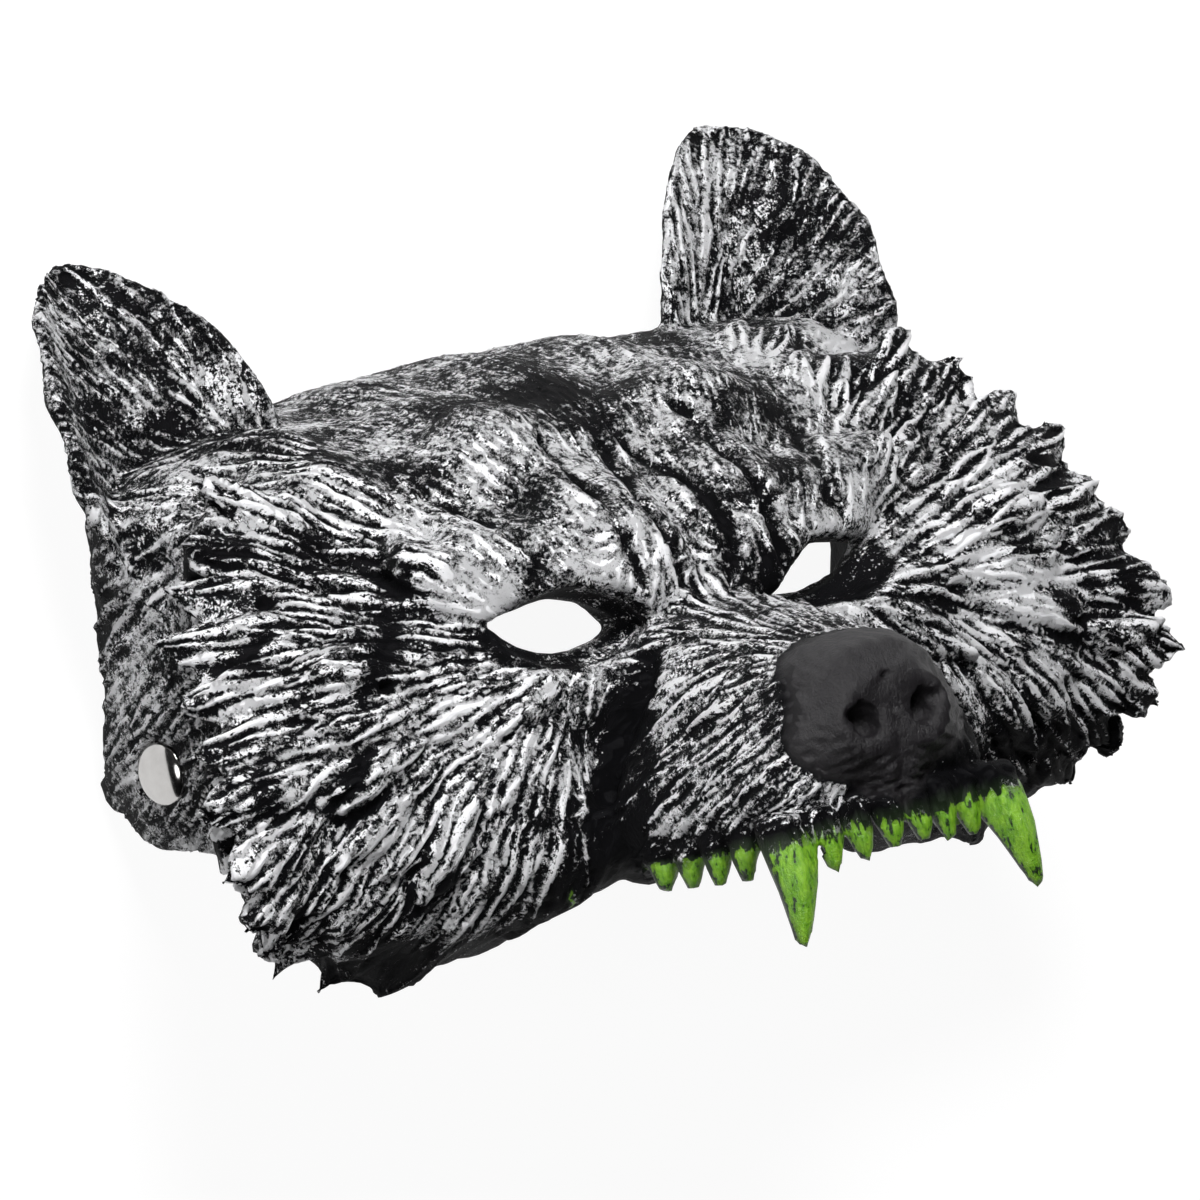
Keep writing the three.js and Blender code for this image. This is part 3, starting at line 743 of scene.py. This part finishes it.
def under_strand(line, half_width, points, normals, tree):
    """The points a strand covers, how far along it each lies, 0 to 1, and how far beside its spine.

    The last is given twice: as a share of the strand's half width there, and in millimetres.
    """
    spine = np.array([place for place, _ in line])
    at = np.array([index for _, index in line])
    reach = half_width * 1.1 + 0.6
    near = np.array(sorted({hit[1] for place in spine for hit in tree.find_range(place, reach)}))
    step = spine[1:] - spine[:-1]
    span = np.maximum((step ** 2).sum(axis=1), 1e-6)
    offset = points[near][:, None, :] - spine[None, :-1, :]
    t = np.clip((offset * step[None]).sum(axis=2) / span, 0, 1)
    gap = offset - t[:, :, None] * step[None]
    nearest = np.linalg.norm(gap, axis=2).argmin(axis=1)
    row = np.arange(len(near))
    along = (nearest + t[row, nearest]) / (len(spine) - 1)
    side = np.cross(normals[at[nearest]], step[nearest] / np.sqrt(span[nearest])[:, None])
    beside = (gap[row, nearest] * side).sum(axis=1)
    taper = np.clip(along / 0.2, 0, 1) ** 0.6 * np.clip((1 - along) / 0.45, 0, 1) ** 0.8
    share = beside / np.maximum(half_width * taper, 1e-6)
    facing = (normals[near] * normals[at[nearest]]).sum(axis=1)
    on = (np.abs(share) < 1) & (facing > 0.3)
    return near[on], along[on], share[on], beside[on]


def carve(points, normals, regions, flow):
    """Height of clumps and of strands at each point, and each point's place on its uppermost strand."""
    tree = tree_of(points)
    clumps = np.zeros(len(points))
    height = np.zeros(len(points))
    strand = np.column_stack([points[:, 0], points[:, 1] * 3, points[:, 2]])
    number = 0
    for region, length, half_width, tall, across_gap, along_gap in STRAND_KINDS:
        weight = getattr(regions, region) * (1 - regions.bare)
        is_clump = half_width > CLUMP_HALF_WIDTH
        layer = clumps if is_clump else height
        apart = (across_gap * half_width, along_gap * length)
        for seed in scatter(points, flow, normals, weight, *apart):
            number += 1
            size = SMALLEST_SIZE + SIZE_SPREAD * RNG.random() ** 2
            turn = TURN_SPREAD * (RNG.random() - 0.5)
            phase = 2 * math.pi * RNG.random()
            line = trace(seed, points, flow, normals, tree, length * size, turn, phase)
            if len(line) < FEWEST_PLACES:
                continue
            index, along, share, beside = under_strand(line, half_width * size, points, normals, tree)
            bulk = 1 - np.abs(share) ** (3.0 if is_clump else 2.0)
            rise = tall * size * (0.35 + 0.65 * along) * bulk * weight[index]
            over = rise > layer[index]
            layer[index[over]] = rise[over]
            if not is_clump:
                mark = np.full(over.sum(), number * NOISE_GAP)
                strand[index[over]] = np.column_stack([beside[over], along[over] * length * size, mark])
    return clumps, height, strand


# Paint

def mix_colour(tree, factor, first, second):
    made = node(tree, "ShaderNodeMix", data_type="RGBA")
    tree.links.new(factor, made.inputs["Factor"])
    for socket, value in ((made.inputs[6], first), (made.inputs[7], second)):
        if isinstance(value, tuple):
            socket.default_value = value
        else:
            tree.links.new(value, socket)
    return made.outputs[2]


def noise(tree, vector, scale, detail=3.0, rough=0.6):
    made = node(tree, "ShaderNodeTexNoise")
    made.inputs["Scale"].default_value = scale
    made.inputs["Detail"].default_value = detail
    made.inputs["Roughness"].default_value = rough
    tree.links.new(vector, made.inputs["Vector"])
    return made.outputs["Fac"]


def stretched(tree, vector, scale):
    made = node(tree, "ShaderNodeMapping")
    made.inputs["Scale"].default_value = scale
    tree.links.new(vector, made.inputs["Vector"])
    return made.outputs["Vector"]


# Silver shows where the sum of crest, noise and cover, which carries the painted shade, passes this narrow
# band
SILVER_EDGE = (0.49, 0.54)

BLACK = (0.004, 0.004, 0.005, 1)
SILVER = (0.96, 0.96, 0.98, 1)
NOSE_BLACK = (0.014, 0.0125, 0.0145, 1)
DARK_GREEN = (0.012, 0.03, 0.006, 1)
GREEN = (0.12, 0.33, 0.010, 1)
BRIGHT_GREEN = (0.25, 0.52, 0.03, 1)
DARK_STEEL = (0.42, 0.41, 0.40, 1)
PALE_STEEL = (0.58, 0.57, 0.56, 1)


def weighted(tree, *terms):
    """Sum of each value's distance from its middle, times its weight; a term is (value, middle, weight)."""
    total = 0.0
    for value, middle, weight in terms:
        shifted = maths(tree, "SUBTRACT", value, middle)
        total = maths(tree, "MULTIPLY_ADD", shifted, weight, total)
    return total


def foam_paint():
    paint = bpy.data.materials.new("painted_foam")
    paint.use_nodes = True
    tree = paint.node_tree
    shader = tree.nodes["Principled BSDF"]
    place = tree.nodes.new("ShaderNodeTexCoord").outputs["Object"]
    strand = attribute(tree, "strand").outputs["Vector"]
    crest = attribute(tree, "crest").outputs["Fac"]
    cover_and_shade = attribute(tree, "cover_and_shade").outputs["Fac"]
    green = attribute(tree, "green").outputs["Fac"]
    leather = attribute(tree, "leather").outputs["Fac"]

    along_hairs = stretched(tree, strand, (1.0, 0.12, 1.0))
    along_scratches = stretched(tree, strand, (1.0, 0.25, 1.0))
    hairs = noise(tree, along_hairs, scale=1.0, detail=3.0, rough=0.65)
    scratches = noise(tree, along_scratches, scale=2.0, detail=4.0, rough=0.75)
    speckle = noise(tree, place, scale=1300.0, detail=4.0, rough=0.8)
    patches = noise(tree, place, scale=60.0, detail=3.0, rough=0.6)
    blotches = noise(tree, place, scale=330.0, detail=4.0, rough=0.75)

    # Rubbed-on silver with painted shade: the cover's painted shade darkens undersides, creases and sockets
    rubbed_and_shaded = weighted(
        tree,
        (crest, 0.5, 1.1),
        (hairs, 0.5, 1.0),
        (scratches, 0.5, 1.8),
        (speckle, 0.5, 2.0),
        (blotches, 0.5, 1.8),
        (patches, 0.5, 1.5),
        (cover_and_shade, 0.0, 1.0),
    )
    silver = ramp(tree, rubbed_and_shaded, *SILVER_EDGE)
    colour = mix_colour(tree, silver, BLACK, SILVER)
    colour = mix_colour(tree, leather, colour, NOSE_BLACK)

    streaks = noise(tree, stretched(tree, place, (1.0, 0.35, 1.0)), scale=700.0, detail=2.0, rough=0.6)
    brushed_green = mix_colour(tree, ramp(tree, streaks, 0.35, 0.65), GREEN, BRIGHT_GREEN)
    # How much lighter green shows: brush streaks, patches, speckle and each tooth's cover, which follows
    # which way a face turns
    green_amount = weighted(tree, (streaks, 0.5, 1.3), (patches, 0.5, 0.5), (speckle, 0.5, 0.4), (cover_and_shade, 0.0, 1.0))
    tooth = mix_colour(tree, ramp(tree, green_amount, 0.30, 0.42), DARK_GREEN, brushed_green)
    colour = mix_colour(tree, green, colour, tooth)
    tree.links.new(colour, shader.inputs["Base Color"])

    glossy = maths(tree, "MAXIMUM", green, leather)
    fur_only = maths(tree, "SUBTRACT", 1.0, glossy)
    metallic = maths(tree, "MULTIPLY", maths(tree, "MULTIPLY", silver, 0.12), fur_only)
    roughness = maths(tree, "MULTIPLY_ADD", silver, -0.12, 0.6)
    roughness = maths(tree, "MULTIPLY_ADD", glossy, -0.15, roughness)
    specular = maths(tree, "MULTIPLY_ADD", silver, 0.3, 0.08)
    specular = maths(tree, "MULTIPLY_ADD", glossy, 0.35, specular)
    tree.links.new(metallic, shader.inputs["Metallic"])
    tree.links.new(roughness, shader.inputs["Roughness"])
    tree.links.new(specular, shader.inputs["Specular IOR Level"])

    relief = weighted(tree, (hairs, 0.5, 1.0), (scratches, 0.5, 0.6), (speckle, 0.5, 0.35))
    bump = tree.nodes.new("ShaderNodeBump")
    bump.inputs["Strength"].default_value = 0.7
    bump.inputs["Distance"].default_value = 0.7 * MM
    tree.links.new(relief, bump.inputs["Height"])
    tree.links.new(bump.outputs["Normal"], shader.inputs["Normal"])
    return paint


def steel():
    paint = bpy.data.materials.new("polished_steel")
    paint.use_nodes = True
    tree = paint.node_tree
    shader = tree.nodes["Principled BSDF"]
    shader.inputs["Metallic"].default_value = 1.0
    place = tree.nodes.new("ShaderNodeTexCoord").outputs["Object"]
    grain = noise(tree, place, scale=900.0)
    tree.links.new(maths(tree, "MULTIPLY_ADD", grain, 0.12, 0.08), shader.inputs["Roughness"])
    tone = mix_colour(tree, noise(tree, place, scale=200.0), DARK_STEEL, PALE_STEEL)
    tree.links.new(tone, shader.inputs["Base Color"])
    return paint


def store(mesh, name, values):
    kind = "FLOAT" if values.ndim == 1 else "FLOAT_VECTOR"
    layer = mesh.attributes.new(name, kind, "POINT")
    layer.data.foreach_set("value" if values.ndim == 1 else "vector", values.astype(np.float32).ravel())


BASE_COVER = 0.33
REGION_COVER = {"cheek": 0.03, "side": 0.05, "forehead": 0.02, "ear": -0.06}
PATCHES = [
    # place with more or less silver than around it: middle, radius, more silver
    # brows and the brow ridges' outer ends
    ((-50, 18, 96), 13, 0.26),
    ((-58, 34, 81), 10, 0.14),
    ((36, 13, 101), 10, 0.08),
    ((52, 15, 95), 10, 0.18),
    # crown: dull in the middle, bright beside the ears
    ((-28, 46, 66), 13, -0.08),
    ((-2, 47, 68), 15, -0.34),
    ((-42, 50, 60), 10, 0.14),
    ((35, 46, 62), 9, 0.26),
    ((56, 46, 54), 12, 0.14),
    ((92, 43, 42), 13, 0.34),
    # temples
    ((-77, 25, 76), 13, -0.22),
    ((76, 30, 68), 9, -0.30),
    ((-60, 36, 80), 9, 0.12),
    ((-87, 37, 66), 9, 0.20),
    ((-20, 14, 105), 12, 0.16),
    # cheeks: the outer rim, the band under the eye, the tips
    ((-96, 0, 90), 10, -0.10),
    ((-108, 12, 74), 10, 0.12),
    ((-60, -20, 100), 13, 0.12),
    ((-92, -38, 92), 18, 0.16),
    ((-84, -62, 74), 12, -0.30),
    ((-68, -61, 78), 12, -0.28),
    ((84, -62, 74), 12, -0.25),
    ((84, -18, 97), 18, 0.24),
    # muzzle: its root, and the lip beside the nose
    ((16, 3, 107), 8, -0.32),
    ((-16, -37, 147), 10, 0.16),
    # ears: dull hollows, bright rims
    ((-83, 66, 24), 11, -0.16),
    ((-64, 64, 27), 8, 0.16),
    ((-56, 54, 31), 9, 0.18),
    ((89, 74, 22), 9, -0.12),
    ((100, 60, 25), 10, 0.14),
    ((80, 88, 15), 9, 0.24),
    ((62, 80, 18), 9, 0.18),
    ((-100, 62, 20), 9, -0.12),
    ((44, 56, 40), 9, -0.14),
]


# Painted shade in the valley between cheek and muzzle, on one half of the face
MOUTH_CORNER = [(34, -24, 111), (37, -37, 114), (43, -52, 107), (47, -60, 86)]
# A fleck of tooth paint on the cheek's lower edge
GREEN_FLECK = [(-47.0, -57.6, 98.5), (-46.2, -60.0, 96.4)]
GREEN_FLECK_HALF_WIDTH = 0.7
GREEN_FLECK_COVER = 0.5
# Painted shade: how much silver is taken off in a clump's shadow and in a pinhole
CLUMP_SHADE = 0.6
PINHOLE_SHADE = 1.5


def fur_cover_and_shade(points, normals, regions):
    """How much silver shows: rubbed on most on the cheeks, brows and temples, none on the nose or inside,
    with painted shade taken off on undersides, on the muzzle's flanks and lower edge, in the mouth's corner
    and in the eye sockets.
    """
    p = folded(points)
    x, y, z = p.T
    left = points[:, 0]
    cover_and_shade = np.full(len(p), BASE_COVER)
    for region, more in REGION_COVER.items():
        cover_and_shade += more * getattr(regions, region)
    # The foot of the ruff on the wearer's left, and the lip beside the nose there
    cover_and_shade -= 0.5 * smooth(-y, 43, 50) * smooth(left, 60, 75)
    cover_and_shade -= 0.6 * smooth(left, 1, 5) * smooth(z, 146, 156) * smooth(-y, 30, 36)
    # Painted shade on the muzzle's flanks, and on its lower edge
    cover_and_shade -= 0.40 * regions.muzzle * smooth(-y, 36, 46) * (1 - smooth(z, 112, 128))
    cover_and_shade -= 0.45 * regions.muzzle * smooth(-y, 46, 51)
    # Painted light: faces turned up, towards the key light, get more silver
    cover_and_shade += 0.08 * smooth(normals[:, 2], 0.3, 0.9)
    for middle, radius, more in PATCHES:
        gap = np.linalg.norm(points - np.array(middle), axis=1)
        cover_and_shade += more * (1 - smooth(gap, 0.5 * radius, 1.4 * radius))
    # Painted shade on undersides, in the mouth's corner and in the eye sockets; the fringe is darker
    # towards its lower edge
    cover_and_shade -= 0.45 * smooth(-normals[:, 2], 0.0, 0.5)
    gap, _ = line_distance(p, MOUTH_CORNER)
    cover_and_shade -= 0.5 * (1 - smooth(gap, 6.0, 12.0))
    cover_and_shade -= 0.30 * smooth(-y, 58, 70) * regions.cheek
    cover_and_shade -= 0.35 * regions.socket
    depth = -np.minimum(head_distance(p), snout_distance(p))
    cover_and_shade -= 2.0 * np.maximum(regions.nose, smooth(depth, 3.0, 4.2) * (1 - regions.ear))
    return cover_and_shade


def tooth_cover(points, normals):
    """Green is lighter on faces turned out of the face and further down towards the tips, and the root and
    the sides stay dark.
    """
    front = smooth(normals[:, 2], -0.1, 0.55)
    return 0.12 + 0.34 * front + 0.1 * smooth(-points[:, 1], 53, 57)


# The mask's skin

# A point this low belongs to the flat edge on which the mask lies
FLAT_EDGE = 0.6
BOX_INSET = 0.02
FANG_STRETCH = 2.3

# Rounds of averaging over neighbours
ROUNDING_ROUNDS = 20
FACET_ROUNDS = 40
GRAIN_ROUNDS = 5
NORMAL_ROUNDS = 12
GROUND_ROUNDS = 30
STRAND_CREST_ROUNDS = 5
CLUMP_CREST_ROUNDS = 10

# Heights that count as a full crest for the paint
STRAND_CREST = 0.75
CLUMP_CREST = 2.6
FOLD_CREST = 4.0


def webbed(source):
    """A fine mesh of the solid with gaps between the ruffs' tips bridged, its net and its points."""
    swollen = with_modifier(source, "mask_swollen", "REMESH", mode="VOXEL", voxel_size=COARSE_VOXEL)
    net = Net(swollen)
    points = to_face(read_points(swollen))
    points += unit(net.blur(read_normals(swollen), 3)) * (WEB * ruff_share(points))[:, None]
    write_points(swollen, to_frame(points))

    fine = with_modifier(swollen, "mask_fine", "REMESH", mode="VOXEL", voxel_size=VOXEL)
    net = Net(fine)
    points = to_face(read_points(fine))
    spread = net.blur(read_normals(fine), 4)
    tip = 1 - smooth(np.linalg.norm(spread, axis=1), 0.5, 0.85)
    sharp = tip * np.minimum(ruff_share(points), 1)
    points -= unit(spread) * (WEB * ruff_share(points) * (1 - 0.6 * sharp))[:, None]
    foot = smooth(-points[:, 1], 54, 61) * np.minimum(ruff_share(points), 1)
    rounding = net.blur(np.maximum(sharp, 0.8 * foot), 2)[:, None]
    for _ in range(ROUNDING_ROUNDS):
        points += 0.6 * rounding * (net.mean(points) - points)
    return fine, net, points


def without_facets(points, net):
    """Smooths the CAD's facets away, least on the locks of the cheeks, the eye sockets and the teeth."""
    regions = Regions(points)
    upper = smooth(points[:, 1], 2, 16)
    fringe = smooth(-points[:, 1], 46, 58)
    locks = 0.68 * regions.cheek * (1 - 0.6 * np.maximum(upper, fringe))
    keep = np.maximum(locks, 0.5 * regions.socket)
    points = relax(points, net, np.minimum(1 - keep, 1 - 0.97 * regions.teeth), FACET_ROUNDS)
    return relax(points, net, 0.8 - 0.5 * regions.teeth, GRAIN_ROUNDS)


class Relief:
    """Heights over the smooth skin, each point's place on its strand, and the clumps' shadows."""

    def __init__(self, points, normals, regions, net):
        flow = fur_flow(points, normals, regions)
        clumps, height, self.strand = carve(points, normals, regions, flow)
        stand, self.shade = clump_relief(points)
        clumps = net.blur(np.maximum(clumps, stand * (1 - regions.bare)), 1)
        # The fringe's undersides and foot are smooth
        height *= 1 - 0.85 * regions.cheek * smooth(-normals[:, 2], -0.5, -0.05)
        foot = 1 - 0.7 * regions.cheek * smooth(-points[:, 1], 56, 64)
        self.height = height * foot
        self.clumps = clumps * foot
        self.folds = fold_relief(points) * (1 - regions.bare)
        self.nose = nose_relief(points) * regions.nose
        self.rolls = swelling(points) * (1 - regions.bare)

    def rise(self, net):
        """Half of the strands' mean height is taken off again, so that the form doesn't grow."""
        ground = net.blur(self.height + self.clumps, GROUND_ROUNDS)
        return self.clumps + self.height + self.folds + self.nose + self.rolls - 0.5 * ground

    def crest(self, net):
        """0 in the valleys between strands and 1 on their ridges, for the paint."""
        strands = (self.height - net.blur(self.height, STRAND_CREST_ROUNDS)) / STRAND_CREST
        clumps = (self.clumps - net.blur(self.clumps, CLUMP_CREST_ROUNDS)) / CLUMP_CREST
        return np.clip(0.5 + (strands + clumps + self.folds / FOLD_CREST), 0, 1)


def displaced(points, normals, regions, relief, net):
    """The points after carving, and how deep in a pinhole each lies, 0 to 1."""
    points = points + normals * relief.rise(net)[:, None]
    points = points + regions.tooth_outward * (TOOTH_SWELL * regions.teeth)[:, None]
    points[:, 1] -= FANG_STRETCH * regions.teeth * smooth(-points[:, 1], 58, 76)
    points = points + net.blur(sag(points), 3) * (1 - regions.teeth)[:, None]
    holes = pinhole_share(points)
    return points - normals * (PINHOLE_DEPTH * holes)[:, None], holes


def in_cad_box(points, flat_edge):
    low, high = (to_face(np.array(corner)) for corner in CAD_BOX)
    points = np.clip(points, low + BOX_INSET, high - BOX_INSET)
    points[flat_edge, 2] = BOX_INSET
    return points


def paint_layers(points, normals, regions, relief, holes, net):
    """What the paint reads at each point."""
    shadows = CLUMP_SHADE * relief.shade
    fur = fur_cover_and_shade(points, normals, regions) - shadows - PINHOLE_SHADE * holes
    # The fur's cover holds painted shade as well as the rubbed-on silver
    cover_and_shade = np.where(regions.teeth > 0.5, tooth_cover(points, normals), fur)
    fleck = line_distance(points, GREEN_FLECK)[0] < GREEN_FLECK_HALF_WIDTH
    cover_and_shade[fleck] = GREEN_FLECK_COVER
    return {
        "strand": relief.strand,
        "crest": relief.crest(net),
        "cover_and_shade": cover_and_shade,
        "green": np.maximum(regions.teeth, fleck),
        "leather": regions.nose,
    }


def make_mask():
    mesh, net, points = webbed(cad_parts["mask"].data.copy())
    flat_edge = points[:, 2] < FLAT_EDGE
    points = without_facets(points, net)
    write_points(mesh, to_frame(points))

    regions = Regions(points)
    normals = unit(net.blur(read_normals(mesh), NORMAL_ROUNDS))
    relief = Relief(points, normals, regions, net)
    points, holes = displaced(points, normals, regions, relief, net)
    points = in_cad_box(points, flat_edge)
    write_points(mesh, to_frame(points))
    layers = paint_layers(points, read_normals(mesh), regions, relief, holes, net)

    share = MOST_TRIANGLES / (len(mesh.polygons) * 2)
    skin = with_modifier(mesh, "mask_skin", "DECIMATE", ratio=share, use_collapse_triangulate=True)
    tree = tree_of(to_frame(points))
    kept = np.array([tree.find(p)[1] for p in read_points(skin)])
    for name, values in layers.items():
        store(skin, name, values[kept])
    skin.shade_smooth()
    skin.materials.clear()
    skin.materials.append(foam_paint())
    piece = bpy.data.objects.new("mask_skin", skin)
    bpy.context.collection.objects.link(piece)
    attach(piece, "root")
    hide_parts("mask")


# Rivets

# Place on the wearer's left flap, way out, and how far below that place the washer's foot lies
RIVET_PLACE = (100.8, -14.3, 27.5)
RIVET_AXIS = (0.983, 0.0, 0.185)
RIVET_DEPTH = 7.8
RIVET_SIDES = 48

# Radius and height of the washer and the shank, up to the cap's underside
RIVET_STEM = [(5.8, 0.05), (5.8, 1.15), (2.2, 1.15), (2.2, 6.85), (7.4, 6.85)]
CAP_RIM_MIDDLE = (7.45, 7.25)
CAP_RIM_RADIUS = 0.4
CAP_RIM_ARC = 0.7 * math.pi
CAP_RADIUS = 7.4
CAP_FOOT = 7.65
CAP_RISE = 2.95
CAP_CROWN = 10.6


def rivet_profile():
    """Radius and height, from the washer inside to the crown of the cap."""
    profile = list(RIVET_STEM)
    for i in range(6):
        angle = -math.pi / 2 + i / 5 * CAP_RIM_ARC
        radius = CAP_RIM_MIDDLE[0] + CAP_RIM_RADIUS * math.cos(angle)
        profile.append((radius, CAP_RIM_MIDDLE[1] + CAP_RIM_RADIUS * math.sin(angle)))
    for i in range(11):
        angle = i / 11 * math.pi / 2
        profile.append((CAP_RADIUS * math.cos(angle), CAP_FOOT + CAP_RISE * math.sin(angle)))
    return profile


def turned_rivet():
    """Points and faces of a rivet that stands on the origin."""
    profile = rivet_profile()
    rings = len(profile)
    points = [(0, 0, profile[0][1]), (0, 0, CAP_CROWN)]
    for radius, height in profile:
        for k in range(RIVET_SIDES):
            angle = k / RIVET_SIDES * 2 * math.pi
            points.append((radius * math.cos(angle), radius * math.sin(angle), height))
    faces = []
    for k in range(RIVET_SIDES):
        n = (k + 1) % RIVET_SIDES
        faces.append((0, 2 + n, 2 + k))
        faces.append((1, 2 + (rings - 1) * RIVET_SIDES + k, 2 + (rings - 1) * RIVET_SIDES + n))
        for i in range(rings - 1):
            low, high = 2 + i * RIVET_SIDES, 2 + (i + 1) * RIVET_SIDES
            faces.append((low + k, low + n, high + n, high + k))
    return points, faces


def make_rivets():
    metal = steel()
    points, faces = turned_rivet()
    for name, side in (("rivet_right", -1), ("rivet_left", 1)):
        axis = Vector((RIVET_AXIS[0] * side, RIVET_AXIS[1], RIVET_AXIS[2])).normalized()
        turn = axis.to_track_quat("Z", "Y")
        x, y, z = RIVET_PLACE
        foot = Vector((x * side, y - FACE_SHIFT[1], z)) - RIVET_DEPTH * axis
        mesh = bpy.data.meshes.new(name + "_cap")
        mesh.from_pydata([(foot + turn @ Vector(p)) * MM for p in points], [], faces)
        mesh.shade_smooth()
        mesh.materials.append(metal)
        piece = bpy.data.objects.new(name + "_cap", mesh)
        bpy.context.collection.objects.link(piece)
        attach(piece, "root")
        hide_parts(name)


make_camera()
make_floor()
make_light()
make_mask()
make_rivets()
